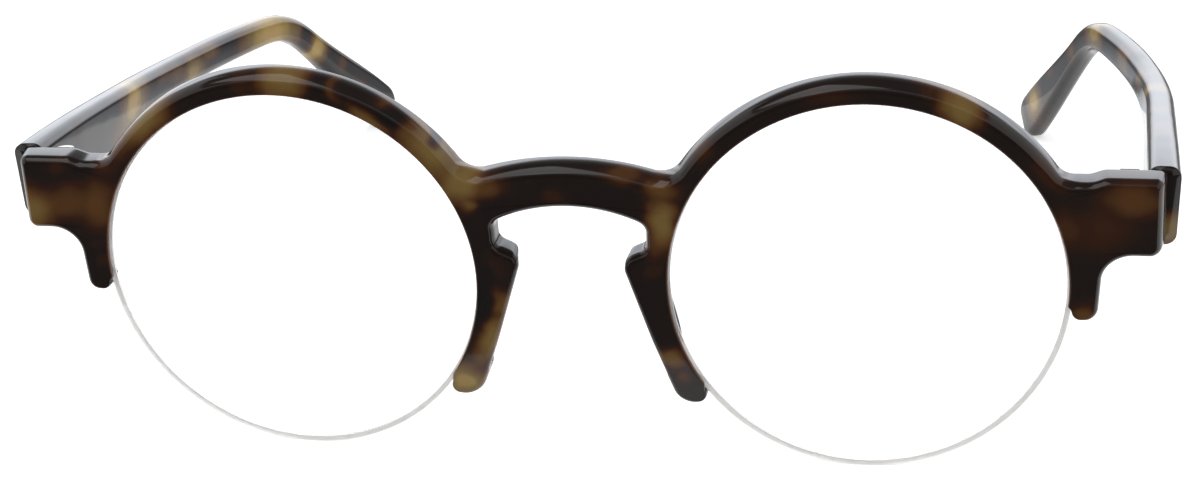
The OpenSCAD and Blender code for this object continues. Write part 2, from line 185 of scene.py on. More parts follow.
# The camera stands at the photographer's place, a little to the wearer's left of the middle.
camera = bpy.data.cameras.new("camera")
camera.lens, camera.sensor_width = 60.1776, 36.0
camera.clip_start = 0.01
photographer = bpy.data.objects.new("camera", camera)
photographer.location = (0.0425473, -0.2827173, 0.1196893)
photographer.rotation_euler = [math.radians(a) for a in (67.86704, 2.103412, 9.255178)]
bpy.context.scene.collection.objects.link(photographer)
bpy.context.scene.camera = photographer


# Front.
# One piece of 4 mm tortoise cellulose acetate sheet, milled to the outline of round rims, keyhole
# bridge, nose limbs and lugs, slotted inside for the lens and tumbled until its edges are round.
LEAN, LIFT, MIDDLE = math.radians(4.89629), 24.7494, 65.1411
LENS_X, LENS_A, LENS_UP, LENS_DOWN = 35.1, 23.8, 24.0, 24.9
FRONT_T = 4.0


def standing(p):
    """Turns points from the front's own square to the pair's lean on the table, in metres."""
    c, s = math.cos(LEAN), math.sin(LEAN)
    turn = np.array([[1, 0, 0], [0, c, -s], [0, s, c]])
    return (p @ turn.T + [0, -MIDDLE, LIFT]) / 1000


def lens_point(t, grow=0.0):
    """The lens edge at angle t in degrees: two half ellipses, deeper below than above."""
    c, s = np.cos(np.radians(t)), np.sin(np.radians(t))
    tall = np.where(s > 0, LENS_UP, LENS_DOWN)
    return np.stack([LENS_X + (LENS_A + grow) * c, (tall + grow) * s], -1)


def lens_normal(t):
    """Outward direction of the lens edge at angle t, across the front."""
    c, s = np.cos(np.radians(t)), np.sin(np.radians(t))
    n = np.stack([c / LENS_A, s / np.where(s > 0, LENS_UP, LENS_DOWN)], -1)
    return n / np.linalg.norm(n, axis=-1, keepdims=True)


def arc(c, r, a0, a1):
    """Points about 0.15 mm apart on the circle of radius r round c, from angle a0 to a1."""
    a = np.radians(np.linspace(a0, a1, max(4, int(abs(a1 - a0) * math.pi / 180 * r / 0.15))))
    return np.array(c) + r * np.stack([np.cos(a), np.sin(a)], -1)


def rounded(first, corners, last):
    """Each corner [x, z, radius, t0, t1] of a path as an arc that touches both of its sides."""
    p = [np.array(first, float)] + [np.array(c[:2], float) for c in corners] + [np.array(last, float)]
    out = []
    for before, here, after, (_, _, r, t0, t1) in zip(p, p[1:], p[2:], corners):
        u = (before - here) / np.linalg.norm(before - here)
        v = (after - here) / np.linalg.norm(after - here)
        half = math.acos(u @ v) / 2
        c = here + (u + v) / np.linalg.norm(u + v) * r / math.sin(half)
        s, e = here + u * r / math.tan(half) - c, here + v * r / math.tan(half) - c
        a0, a1 = math.degrees(math.atan2(s[1], s[0])), math.degrees(math.atan2(e[1], e[0]))
        out.append((arc(c, r, a0, a0 + (a1 - a0 + 540) % 360 - 180), t0, t1))
    return out


def circles_meet(c1, r1, c2, r2):
    """The upper point where two circles meet."""
    c1, c2 = np.array(c1, float), np.array(c2, float)
    d = np.linalg.norm(c2 - c1)
    u = (c2 - c1) / d
    a = (r1 * r1 - r2 * r2 + d * d) / (2 * d)
    return c1 + u * a + np.array([-u[1], u[0]]) * math.sqrt(r1 * r1 - a * a)


def degrees_to(a, b):
    """Direction from point a to point b in degrees."""
    return math.degrees(math.atan2(b[1] - a[1], b[0] - a[0]))


# Lens angles at which spike and nose limb end, then radii of the bridge's top, of the rim and of
# the hollows beside bridge and lug, then heights of the bridge and of the lug's hollow
SPIKE_T, NOSE_T = -4.5, 216.0
BRIDGE_R, RIM_R, HOLLOW_R, DIP_R = 36.0, 26.25, 3.0, 2.6
BRIDGE_TOP, DIP_Z = 15.0, 14.1
crest, rim = np.array([0, BRIDGE_TOP - BRIDGE_R]), np.array([LENS_X, 0.0])
hollow = circles_meet(crest, BRIDGE_R + HOLLOW_R, rim, RIM_R + HOLLOW_R)
dip = np.array([LENS_X + math.sqrt((RIM_R + DIP_R) ** 2 - (DIP_Z + DIP_R) ** 2), DIP_Z])
dip_centre = dip + [0, DIP_R]
rim_end = degrees_to(rim, dip_centre)
rim_start = degrees_to(hollow, rim) + 180
upper = rounded(lens_point(SPIKE_T), [
    (58.8, -3.3, 1.25, SPIKE_T, -3), (61.9, -3.4, 1.5, -2, 0), (62.15, 5.1, 3.3, 2, 12.5),
    (68.3, 5.1, 1.2, 14.5, 17), (67.9, 14.7, 1.0, 21, 25), (61.8, 14.7, 2.5, 28, 29.5),
    (60.3, DIP_Z, 2.5, 30.5, 32)], dip)
upper += [(arc(dip_centre, DIP_R, 270, rim_end + 180), 33, rim_end),
          (arc(rim, RIM_R, rim_end, rim_start), rim_end, rim_start),
          (arc(hollow, HOLLOW_R, rim_start + 180, degrees_to(crest, hollow) + 180), rim_start, 154),
          (arc(crest, BRIDGE_R, degrees_to(crest, hollow), 90), 154, 156.5)]
# The keyhole: half its width, its top and the radius there
KEY_HALF, KEY_TOP, KEY_R = 7.9, 9.6, 20.0
key_centre = KEY_TOP - KEY_R
key_z = key_centre + math.sqrt(KEY_R ** 2 - KEY_HALF ** 2)
lower = [(arc((0, key_centre), KEY_R, 90, math.degrees(math.acos(KEY_HALF / KEY_R))), 157, 160.5)]
lower += rounded((KEY_HALF, key_z), [
    (9.2, 7.35, 1.5, 161.5, 164), (9.15, 4.1, 1.3, 167, 171), (5.8, 2.6, 1.8, 173, 180),
    (9.2, -8.2, 30, 195, 199), (12.6, -17.15, 2.6, 205, 211), (17.0, -16.2, 1.3, 212.5, NOSE_T)],
    lens_point(NOSE_T))


def joined(pieces):
    """Runs the pieces into one line with the lens angle that each point faces, points filled in
    on the straight runs so that none is over 0.3 mm or 1 degree from the next."""
    p = np.concatenate([q[0] for q in pieces])
    t = np.concatenate([np.linspace(q[1], q[2], len(q[0])) for q in pieces])
    apart = np.r_[True, np.linalg.norm(np.diff(p, axis=0), axis=1) > 1e-3]
    p, t = p[apart], t[apart]
    step = np.maximum(np.linalg.norm(np.diff(p, axis=0), axis=1) / 0.3, np.abs(np.diff(t)))
    count = np.maximum(1, np.ceil(step)).astype(int)
    at = np.concatenate([i + np.arange(n) / n for i, n in enumerate(count)] + [[len(p) - 1]])
    k = np.arange(len(p))
    return np.stack([np.interp(at, k, p[:, 0]), np.interp(at, k, p[:, 1])], -1), np.interp(at, k, t)


def inward(p, start, end):
    """Directions into the acetate, square to the line p, taken between the neighbours."""
    q = np.concatenate([[start], p, [end]])
    d = q[:-2] - q[2:]
    n = np.stack([d[:, 1], -d[:, 0]], -1)
    return n / np.maximum(np.linalg.norm(n, axis=1, keepdims=True), 1e-9)


upper_line, upper_t = joined(upper)
lower_line, lower_t = joined(lower)
upper_in = inward(upper_line, lens_point(SPIKE_T), upper_line[-2] * [-1, 1])
lower_in = inward(lower_line, lower_line[1] * [-1, 1], lens_point(NOSE_T))
outer = np.concatenate([upper_line, lower_line])
outer_in = np.concatenate([upper_in, lower_in])
facing = np.concatenate([upper_t, lower_t])


EDGE_STEPS = 9
FRONT_ROWS = EDGE_STEPS + 1  # rows of an edge's front margin and rounding
MARGIN = 0.06


def edge_profile(inset, deep, r_back, shelf):
    """(depth, inset) down one edge of the sheet: a narrow flat margin, a quarter ellipse, the wall
    with the given shelf depths, a quarter round and the margin at the back."""
    a = np.radians(np.linspace(0, 90, EDGE_STEPS))
    front = np.stack([deep * (1 - np.cos(a)), inset * (1 - np.sin(a))], -1)
    back = np.stack([FRONT_T - r_back * (1 - np.cos(a)), r_back * (1 - np.sin(a))], -1)[::-1]
    wall = np.stack([shelf, np.zeros(len(shelf))], -1)
    return np.concatenate([[[0, inset + MARGIN]], front, wall, back, [[FRONT_T, r_back + MARGIN]]])


LENS_Y, SLOT_W, RIM_SLOT, LENS_CLEAR = 1.7, 0.7, 1.0, 0.06
LIP, LIP_T, LIP_REACH = 0.5, 0.48, 1.5
SLOT_FROM, SLOT_TO = LENS_Y - SLOT_W / 2, LENS_Y + SLOT_W / 2
outer_edge = edge_profile(1.35, 2.9, 0.75, [2.95, 3.0, 3.05, 3.1, 3.15, 3.2])
inner_edge = edge_profile(0.28, 0.3, 0.9, [LIP_T, LIP_T + 0.01, SLOT_FROM, SLOT_FROM,
                                           SLOT_TO, SLOT_TO])
slot_depth = np.zeros(len(inner_edge))
slot_depth[FRONT_ROWS + 3:FRONT_ROWS + 5] = RIM_SLOT
lip = np.zeros(len(inner_edge))
lip[:FRONT_ROWS + 1] = LIP
run_up = np.r_[0, np.cumsum(np.linalg.norm(np.diff(upper_line, axis=0), axis=1))]
run_low = np.r_[0, np.cumsum(np.linalg.norm(np.diff(lower_line, axis=0), axis=1))]
from_tip = np.concatenate([run_up, run_low[-1] - run_low])
TIP_EDGE, TIP_REACH = 0.12, 4.5
tip_ease = np.clip(TIP_EDGE + (1 - TIP_EDGE) * from_tip / TIP_REACH, TIP_EDGE, 1)
# The rims and the bridge are rounded over most of their thickness, lugs and limbs only at the edge
CRISP_LUG_FROM, CRISP_LIMB, CRISP_IN, CRISP_DEEP = 55, 0.85, 0.4, 0.55
crisp = np.where(np.arange(len(outer)) < len(upper_line),
                 np.clip((outer[:, 0] - CRISP_LUG_FROM) / 4, 0, 1), CRISP_LIMB)
LUG_FROM, LUG_FLARE = 62, 1.0
LIMB_TO, LIMB_LOW, LIMB_HIGH, LIMB_FLARE = 11.2, -16, 3.4, 0.9


def flared(p):
    """Lugs and nose limbs widen in step with the depth: the lugs outward from LUG_FROM on, the
    limbs away from the nose between two heights, each along a straight ramp from its limits."""
    x, y, z = p[..., 0], p[..., 1], p[..., 2]
    lug = LUG_FLARE * np.where((z > 0) & (x > LUG_FROM), np.clip((x - LUG_FROM) / 4, 0, 1), 0)
    near = (x < LIMB_TO) & (np.hypot(x - LENS_X, z) > LENS_A + 1.5)
    near = near & (z > LIMB_LOW) & (z < LIMB_HIGH)
    height = np.minimum((z - LIMB_LOW) / 8, (LIMB_HIGH - z) / 1.5)
    nose = np.where(near, LIMB_FLARE * np.clip(height, 0, 1), 0)
    return np.stack([x + y / FRONT_T * (lug + nose), y, z], -1)


def quads(index):
    """Four-sided faces between neighbouring rows and columns of a grid of vertex numbers."""
    return np.stack([index[:-1, :-1], index[1:, :-1], index[1:, 1:], index[:-1, 1:]], -1).reshape(-1, 4)


def finish_shell(mesh, merge=0.0):
    """Welds points closer than merge, turns normals outward, smooths faces of the first material."""
    work = bmesh.new()
    work.from_mesh(mesh)
    if merge:
        bmesh.ops.remove_doubles(work, verts=work.verts, dist=merge)
    bmesh.ops.recalc_face_normals(work, faces=work.faces)
    for face in work.faces:
        face.smooth = face.material_index == 0
    work.to_mesh(mesh)
    work.free()


def make_piece(name, points, faces, sheet, body, materials, painted_glow_mask=None, merge=2e-6):
    """Makes a closed smooth mesh from points in metres. sheet keeps each point's place in the uncut
    acetate in mm, and painted_glow_mask how strongly a painted glow warms the colour there, from 0 to
    1, standing in for light coming through the acetate."""
    mesh = bpy.data.meshes.new(name)
    mesh.from_pydata(points.tolist(), [], faces.tolist())
    place = mesh.attributes.new("sheet", "FLOAT_VECTOR", "POINT")
    place.data.foreach_set("vector", np.asarray(sheet, np.float32).ravel())
    if painted_glow_mask is not None:
        painted_glow = mesh.attributes.new("painted_glow_edge", "FLOAT", "POINT")
        painted_glow.data.foreach_set("value", np.asarray(painted_glow_mask, np.float32).ravel())
    finish_shell(mesh, merge)
    for material in materials:
        mesh.materials.append(material)
    piece = bpy.data.objects.new(name, mesh)
    bpy.context.scene.collection.objects.link(piece)
    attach(piece, body)
    return piece


def half_front(side):
    """Rings by depth of the outer line and the lens curve, side walls, end caps and both faces."""
    n, rings = len(outer), len(outer_edge)
    o = np.empty((rings, n, 3))
    rounding = (tip_ease * (1 - CRISP_IN * crisp))[:, None]
    o[..., 0::2] = outer + outer_in * outer_edge[:, None, 1:] * rounding
    in_front = np.arange(rings)[:, None] < FRONT_ROWS
    o[..., 1] = outer_edge[:, None, 0] * np.where(in_front, 1 - CRISP_DEEP * crisp, 1)
    between_tips = np.where(np.arange(n) % (n - 1), 1, 0.5)
    grow = inner_edge[:, 1:] * tip_ease + slot_depth[:, None] * between_tips
    grow = grow - lip[:, None] * np.clip(from_tip / LIP_REACH, 0, 1)
    i = np.empty((rings, n, 3))
    i[..., 0::2] = lens_point(facing, LENS_CLEAR) + lens_normal(facing) * grow[..., None]
    i[..., 1] = inner_edge[:, None, 0]
    p = flared(np.stack([o, i]))
    index = np.arange(p[..., 0].size).reshape(2, rings, n)
    middle = len(upper_line)
    walls = [quads(index[0, :, :middle]), quads(index[0, :, middle:]), quads(index[1])]
    caps = [quads(index[:, :, 0]), quads(index[:, :, -1]), quads(index[:, 0]), quads(index[:, -1])]
    # Painted glow: the lens-side edge and the outer edges that face down are marked so that their
    # colour is warmed, as if light shone through the thin acetate there.
    painted_glow = np.zeros((2, rings, n))
    painted_glow[1, 1:FRONT_ROWS] = np.linspace(0, 0.7, EDGE_STEPS)[:, None]
    painted_glow[1, FRONT_ROWS:FRONT_ROWS + 3] = 1
    down = np.clip(outer_in[:, 1] * 1.6, 0, 1)  # edges that face down
    painted_glow[0, 3:FRONT_ROWS + 1] = np.linspace(0, 0.7, FRONT_ROWS - 2)[:, None] * down
    return p * [side, 1, 1], np.concatenate(walls + caps), painted_glow


halves = [half_front(s) for s in (1, -1)]
front_points = np.concatenate([h[0].reshape(-1, 3) for h in halves])
front_faces = np.concatenate([halves[0][1], halves[1][1] + halves[0][0][..., 0].size])
front_painted_glow = np.concatenate([h[2].ravel() for h in halves])


def patch_strength(tree, place, patches):
    """The strongest of many soft patches at a point. Each patch (x, z, half length, half width,
    turn in degrees, strength) is an ellipse that fades smoothly to nothing at its edge."""
    total = None
    for x, z, along, across, turn, strength in patches:
        moved = add_node(tree, "ShaderNodeMapping", {
            "Vector": place, "Location": (x, 0, z), "Rotation": (0, -math.radians(turn), 0),
            "Scale": (along, 1e4, across)}, vector_type="TEXTURE")
        away = add_node(tree, "ShaderNodeVectorMath", {0: moved.outputs[0]}, operation="LENGTH")
        soft = add_node(tree, "ShaderNodeMapRange", {
            0: away.outputs["Value"], 1: 0.15, 2: 1.5, 3: strength, 4: 0.0},
            interpolation_type="SMOOTHSTEP").outputs[0]
        total = soft if total is None else add_node(
            tree, "ShaderNodeMath", {0: total, 1: soft, 2: 0.3}, operation="SMOOTH_MAX").outputs[0]
    return total


def tortoise_acetate(name, pale, dark):
    """Block-laid cellulose acetate: brown-black dye clouds in honey resin, polished. The patches
    are where the sheet's clouds lie, in mm; noise gives their edges the ragged flow of the dye."""
    material, tree = blank_material(name)
    sheet = add_node(tree, "ShaderNodeAttribute", attribute_name="sheet")
    flow = add_node(tree, "ShaderNodeTexNoise", {"Vector": sheet.outputs["Vector"], "Scale": 0.22,
                                                 "Detail": 2.0, "Roughness": 0.45})
    centred = add_node(tree, "ShaderNodeVectorMath", {0: flow.outputs["Color"], 1: (0.5, 0.5, 0.5)},
                       operation="SUBTRACT")
    pushed = add_node(tree, "ShaderNodeVectorMath", {
        0: centred.outputs[0], 1: (2.6, 0, 2.6), 2: sheet.outputs["Vector"]}, operation="MULTIPLY_ADD")
    clouds = patch_strength(tree, pushed.outputs[0], pale)
    ink = patch_strength(tree, pushed.outputs[0], dark)
    keep = add_node(tree, "ShaderNodeMath", {0: 1.0, 1: ink}, operation="SUBTRACT")
    clouds = add_node(tree, "ShaderNodeMath", {0: clouds, 1: keep.outputs[0]},
                      operation="MULTIPLY").outputs[0]
    wisps = add_node(tree, "ShaderNodeTexNoise", {"Vector": sheet.outputs["Vector"], "Scale": 0.16,
                                                  "Detail": 2.0})
    veil = add_node(tree, "ShaderNodeMapRange", {0: wisps.outputs["Fac"], 1: 0.48, 2: 0.75, 3: 0.0,
                                                 4: 0.3}, interpolation_type="SMOOTHSTEP")
    warm = add_node(tree, "ShaderNodeMath", {0: clouds, 1: veil.outputs[0]}, operation="MAXIMUM")
    ramp = add_node(tree, "ShaderNodeValToRGB", {0: warm.outputs[0]})
    stops = [(0.0, "#191716"), (0.2, "#1F1815"), (0.36, "#361E12"), (0.52, "#52351B"),
             (0.7, "#694F2A"), (0.82, "#776236"), (0.92, "#A48747"), (1.0, "#CDA86C")]
    fill_ramp(ramp, [(at, linear(code)) for at, code in stops])
    # Painted glow: where this edge mask is set, the colour is mixed toward warm orange brown. It stands
    # in for light coming through thin acetate.
    edge = add_node(tree, "ShaderNodeAttribute", attribute_name="painted_glow_edge")
    glow_amount = add_node(tree, "ShaderNodeMath", {0: edge.outputs["Fac"], 1: 0.75}, operation="MULTIPLY")
    colour = add_node(tree, "ShaderNodeMix", {0: glow_amount.outputs[0], "A": ramp.outputs[0],
                                              "B": linear("#8A5636")}, data_type="RGBA")
    wave = add_node(tree, "ShaderNodeTexNoise", {"Vector": sheet.outputs["Vector"], "Scale": 0.12,
                                                 "Detail": 1.0})
    bump = add_node(tree, "ShaderNodeBump", {"Height": wave.outputs["Fac"], "Strength": 0.12,
                                             "Distance": 0.0006})
    gloss = add_node(tree, "ShaderNodeBsdfPrincipled", {
        "Base Color": colour.outputs["Result"], "Roughness": 0.1, "IOR": 1.48,
        "Specular IOR Level": 0.34, "Normal": bump.outputs[0]})
    add_node(tree, "ShaderNodeOutputMaterial", {"Surface": gloss.outputs[0]})
    return material


# Clouds of the front, mm across from its middle and up from the lens centres
front_pale = [
    (-67.3, 7.9, 4.0, 4.2, 0, 0.82), (-63.2, 8.9, 8.0, 3.4, 0, 0.56),
    (-58.6, 8.6, 3.4, 5.0, -30, 0.58), (-56.8, 14.0, 2.6, 2.2, 0, 0.42),
    (-63.2, 13.6, 1.8, 1.6, 0, 0.36), (-51.2, 19.9, 6.4, 3.0, 42, 0.84),
    (-54.5, 16.4, 3.0, 2.2, 42, 0.5), (-38.2, 25.2, 2.8, 2.4, 8, 0.36),
    (-33.2, 25.4, 3.7, 3.4, 0, 0.82), (-27.1, 24.4, 0.9, 2.6, 10, 0.48),
    (-22.9, 20.7, 4.2, 1.3, -38, 0.72), (-20.6, 22.4, 2.6, 1.3, -40, 0.52),
    (-15.8, 16.6, 6.2, 3.2, -50, 0.86), (-12.6, 12.8, 3.4, 3.6, 0, 0.86),
    (-9.6, 12.4, 3.4, 2.2, 0, 0.58), (-11.9, 9.9, 1.5, 1.4, 0, 0.66),
    (-1.5, 11.0, 2.3, 1.7, 0, 0.36), (6.8, 13.7, 3.6, 1.2, -8, 0.52),
    (11.2, 8.0, 2.4, 5.0, -8, 0.84), (11.6, 12.6, 3.0, 1.8, 0, 0.62),
    (16.0, 17.4, 2.6, 2.3, 50, 0.42), (31.0, 24.4, 4.6, 1.4, 5, 0.33),
    (45.6, 22.9, 3.2, 2.8, -35, 0.84), (42.3, 25.2, 2.4, 1.4, -20, 0.5),
    (55.6, 15.4, 4.0, 1.6, -50, 0.38), (57.8, 8.6, 2.4, 3.6, 0, 0.44),
    (65.0, 12.4, 5.2, 3.0, 0, 0.56), (61.8, 8.8, 5.6, 4.0, 0, 0.4), (60.3, -2.6, 2.4, 2.2, 0, 0.6),
    (-8.2, -3.4, 2.4, 3.0, 65, 0.7), (-10.4, -8.2, 5.6, 2.2, 62, 0.84),
    (-14.2, -14.6, 4.2, 3.6, 0, 0.95), (-9.0, 1.6, 1.7, 2.8, 0, 0.28),
    (11.6, -10.3, 2.8, 1.9, -20, 0.72), (13.3, -12.7, 1.5, 1.1, 0, 0.48)]
front_dark = [(-15.5, 18.1, 1.7, 1.1, -50, 0.9), (-20.3, 20.9, 1.8, 1.5, 0, 0.8),
              (-11.2, -3.0, 4.2, 1.2, 75, 0.9)]
polished_tortoise = tortoise_acetate("polished_tortoise_acetate_front", front_pale, front_dark)
front = make_piece("front_polished", standing(front_points), front_faces, front_points, "frame",
                   [polished_tortoise], front_painted_glow)
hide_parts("front")


# Nose pads.
# Two crowned pads of the same acetate, cemented to the backs of the nose limbs and polished with
# them, so that the weight rests on the sides of the nose.
SIDES = ((1, "left"), (-1, "right"))
PAD_WIDE, PAD_CROWN, PAD_TOP, PAD_LONG, PAD_SUNK = 1.35, 2.5, 2.6, 13.4, 0.05


def nose_pad(side):
    """A dome on an oval base: width and height follow the square root of a parabola along it. Its
    middle line starts 8.9 mm from the bridge's middle and bends outward by 3.0 mm and 0.9 mm, with
    the first and the second power of the way down."""
    u = np.linspace(0, 1, 49)[:, None]
    v = np.linspace(0, math.pi, 33)[None, :]
    swell = np.sqrt(np.clip(1 - (2 * u - 1) ** 2, 0, 1))
    x = 8.9 + 3.0 * u + 0.9 * u * u + (PAD_WIDE - 0.3 * u) * swell * np.cos(v)
    y = FRONT_T - PAD_SUNK + (PAD_CROWN - 0.5 * u) * swell * np.sin(v)
    z = PAD_TOP - PAD_LONG * u + 0.4 * swell * np.cos(v)
    return np.stack([x * side, y + 0 * x, z + 0 * x], -1)


def numbered(grid, closed=True):
    """The vertex numbers of a grid of points, the first column again at the end where it closes."""
    index = np.arange(grid[..., 0].size).reshape(grid.shape[:2])
    return np.concatenate([index, index[:, :1]], 1) if closed else index


def closed_dome(grid):
    """Faces of the dome and of the flat base under it."""
    index = numbered(grid, closed=False)
    return np.concatenate([quads(index), quads(index[:, [0, -1]])])


for side, word in SIDES:
    pad = nose_pad(side)
    piece = make_piece("nose_pad_crowned_" + word, standing(pad.reshape(-1, 3)), closed_dome(pad),
                       pad.reshape(-1, 3), "frame", [polished_tortoise], np.zeros(pad[..., 0].size))
    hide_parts("nose_pad_" + word)


# Lenses.
# Clear demonstration lenses of 2 mm acrylic, both faces ground to a 150 mm sphere, the edge ground
# matt with a slot round it for the cord.
LENS_T, LENS_CURVE, LENS_SLOT, LENS_BEVEL = 2.0, 150.0, 0.65, 0.12
clear_acrylic, tree = blank_material("clear_polished_acrylic")
glass = add_node(tree, "ShaderNodeBsdfPrincipled", {"Base Color": linear("#FFFFFF"), "Roughness": 0.0,
                                                    "IOR": 1.49, "Transmission Weight": 1.0})
through = add_node(tree, "ShaderNodeBsdfTransparent", {"Color": (1, 1, 1, 1)})
path = add_node(tree, "ShaderNodeLightPath")
shadow = add_node(tree, "ShaderNodeMixShader", {0: path.outputs["Is Shadow Ray"], 1: glass.outputs[0],
                                                2: through.outputs[0]})
add_node(tree, "ShaderNodeOutputMaterial", {"Surface": shadow.outputs[0]})

ground_edge, tree = blank_material("matt_ground_acrylic_edge")
place = add_node(tree, "ShaderNodeTexCoord")
grit = add_node(tree, "ShaderNodeTexNoise", {"Vector": place.outputs["Object"], "Scale": 4000.0})
rough = add_node(tree, "ShaderNodeMapRange", {0: grit.outputs["Fac"], 3: 0.35, 4: 0.6})
matt = add_node(tree, "ShaderNodeBsdfPrincipled", {"Base Color": linear("#F8F6F4"), "IOR": 1.49,
                                                   "Roughness": rough.outputs[0],
                                                   "Transmission Weight": 0.55})
add_node(tree, "ShaderNodeOutputMaterial", {"Surface": matt.outputs[0]})


def fan(ring, centre):
    """Triangles from a ring of vertex numbers to the one in its middle."""
    return np.stack([ring[:-1], ring[1:], np.full(len(ring) - 1, centre)], -1)


def lens_grid(side):
    """Rings over the front face, round the slotted edge and over the back face. A point of a face
    stands forward of the edge by the square of the edge's distance from the middle, less the
    square of its own, over twice the radius."""
    t = np.linspace(0, 360, 241)[:-1]
    edge = lens_point(t)
    reach = np.linalg.norm(edge - rim, axis=1)
    k = np.r_[0.02, np.linspace(0.1, 0.985, 16), 0.994]
    front_y, back_y = LENS_Y - LENS_T / 2, LENS_Y + LENS_T / 2
    walls = [(front_y + LENS_BEVEL, 0), (SLOT_FROM, 0), (SLOT_FROM, -LENS_SLOT),
             (SLOT_TO, -LENS_SLOT), (SLOT_TO, 0), (back_y - LENS_BEVEL, 0)]

    def bowed(y):
        p = rim + (edge - rim)[None] * k[:, None, None]
        depth = y - (1 - k[:, None] ** 2) * reach ** 2 / (2 * LENS_CURVE)
        return np.stack([p[..., 0], depth, p[..., 1]], -1)

    wall = np.stack([np.insert(lens_point(t, g), 1, y, axis=1) for y, g in walls])
    rings = np.concatenate([bowed(front_y), wall, bowed(back_y)[::-1]])
    return rings * [side, 1, 1], len(k)


for side, word in SIDES:
    rings, face_rings = lens_grid(side)
    index, n = numbered(rings), rings[..., 0].size
    points = np.concatenate([rings.reshape(-1, 3), rings[[0, -1]].mean(1)])
    poles = np.concatenate([fan(index[0], n), fan(index[-1], n + 1)])
    mesh = bpy.data.meshes.new("lens_clear_" + word)
    mesh.from_pydata(standing(points).tolist(), [], quads(index).tolist() + poles.tolist())
    mesh.materials.append(clear_acrylic)
    mesh.materials.append(ground_edge)
    columns = index.shape[1] - 1
    kind = np.zeros(len(mesh.polygons), np.int32)
    kind[face_rings * columns:(face_rings + 5) * columns] = 1  # the five bands of the ground edge
    mesh.polygons.foreach_set("material_index", kind)
    finish_shell(mesh)
    lens = bpy.data.objects.new("lens_clear_" + word, mesh)
    bpy.context.scene.collection.objects.link(lens)
    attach(lens, "frame")
    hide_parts("lens_" + word)


# Nylon cords and rim liners.
# A clear nylon filament of 0.6 mm runs in the slot under each lens, its ends held in the acetate;
# above, a flat nylon liner fills the slots of rim and lens.
clear_nylon, tree = blank_material("drawn_clear_nylon")
nylon = add_node(tree, "ShaderNodeBsdfPrincipled", {"Base Color": linear("#F8F7F6"), "Roughness": 0.12,
                                                    "IOR": 1.53, "Transmission Weight": 0.8})
add_node(tree, "ShaderNodeOutputMaterial", {"Surface": nylon.outputs[0]})
CORD_R, CORD_FROM, CORD_TO, CORD_CLEAR, CORD_SUNK = 0.3, 209, 361, 0.025, 0.85


def tube(centre, across, depth, radius, sides=16):
    """A round bar along the points centre; across and depth span its section at each point."""
    a = np.linspace(0, 2 * math.pi, sides + 1)[:-1]
    ring = across[:, None] * np.cos(a)[:, None] + depth[:, None] * np.sin(a)[:, None]
    return centre[:, None] + radius * ring


for side, word in SIDES:
    t = np.linspace(CORD_FROM, CORD_TO, 181)
    rise = CORD_SUNK * np.clip(1 - np.minimum(t - CORD_FROM, CORD_TO - t) / 8, 0, 1) ** 2
    across = lens_normal(t)
    c = lens_point(t) + across * (CORD_R - LENS_SLOT + CORD_CLEAR + rise)[:, None]
    centre = np.stack([c[:, 0] * side, np.full(len(t), LENS_Y), c[:, 1]], -1)
    out = np.stack([across[:, 0] * side, 0 * t, across[:, 1]], -1)
    cord = tube(centre, out, np.broadcast_to([0, 1.0, 0], out.shape), CORD_R)
    index, n = numbered(cord), cord[..., 0].size
    ends = np.concatenate([fan(index[0], n), fan(index[-1], n + 1)])
    points = np.concatenate([cord.reshape(-1, 3), cord[[0, -1]].mean(1)])
    mesh = bpy.data.meshes.new("nylon_filament_" + word)
    mesh.from_pydata(standing(points).tolist(), [], quads(index).tolist() + ends.tolist())
    mesh.materials.append(clear_nylon)
    finish_shell(mesh)
    filament = bpy.data.objects.new("nylon_filament_" + word, mesh)
    bpy.context.scene.collection.objects.link(filament)
    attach(filament, "frame")
    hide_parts("nylon_cord_" + word)
    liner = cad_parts["rim_liner_" + word]
    liner.data.materials.clear()
    liner.data.materials.append(clear_nylon)


# Temples.
# Each temple is cut from the same block, bent warm over a former at the ear and drawn in behind
# it, then polished; its section is a rounded oblong that slims to the bend and swells at the tip.
TEMPLE_LEN, BEND_AT, BEND_LEN = 139.0, 98.8, 18.0
PITCH, DROP, SPLAY, BOW, BOW_FROM, BOW_TO = 9.4, 35.0, 5.0, 17.0, 40.0, 110.0
TEMPLE_H, TEMPLE_T, TEMPLE_X, TEMPLE_Y = (9.7, 4.9, 4.3, 7.6), (3.8, 3.3), 70.4, 4.2
HINGE_UP, TEMPLE_EDGE, CUT_REACH = 9.9, 1.35, 6


def smooth(u):
    """0 to 1 as u goes from 0 to 1, level at both ends."""
    v = np.clip(u, 0, 1)
    return v * v * (3 - 2 * v)


def blend(a, b, u):
    """From a to b as u goes from 0 to 1, level at both ends."""
    return a + (b - a) * smooth(u)


def temple_course(s):
    """Heading, sideways and upward directions of the temple at distance s from the hinge."""
    yaw = np.radians(SPLAY - (SPLAY + BOW) * np.clip((s - BOW_FROM) / (BOW_TO - BOW_FROM), 0, 1))
    slope = np.radians(PITCH + DROP * smooth((s - BEND_AT + BEND_LEN / 2) / BEND_LEN))
    ahead = np.stack([np.sin(yaw) * np.cos(slope), np.cos(yaw) * np.cos(slope), -np.sin(slope)], -1)
    side = np.stack([np.cos(yaw), -np.sin(yaw), 0 * s], -1)
    return ahead, side, np.cross(side, ahead)


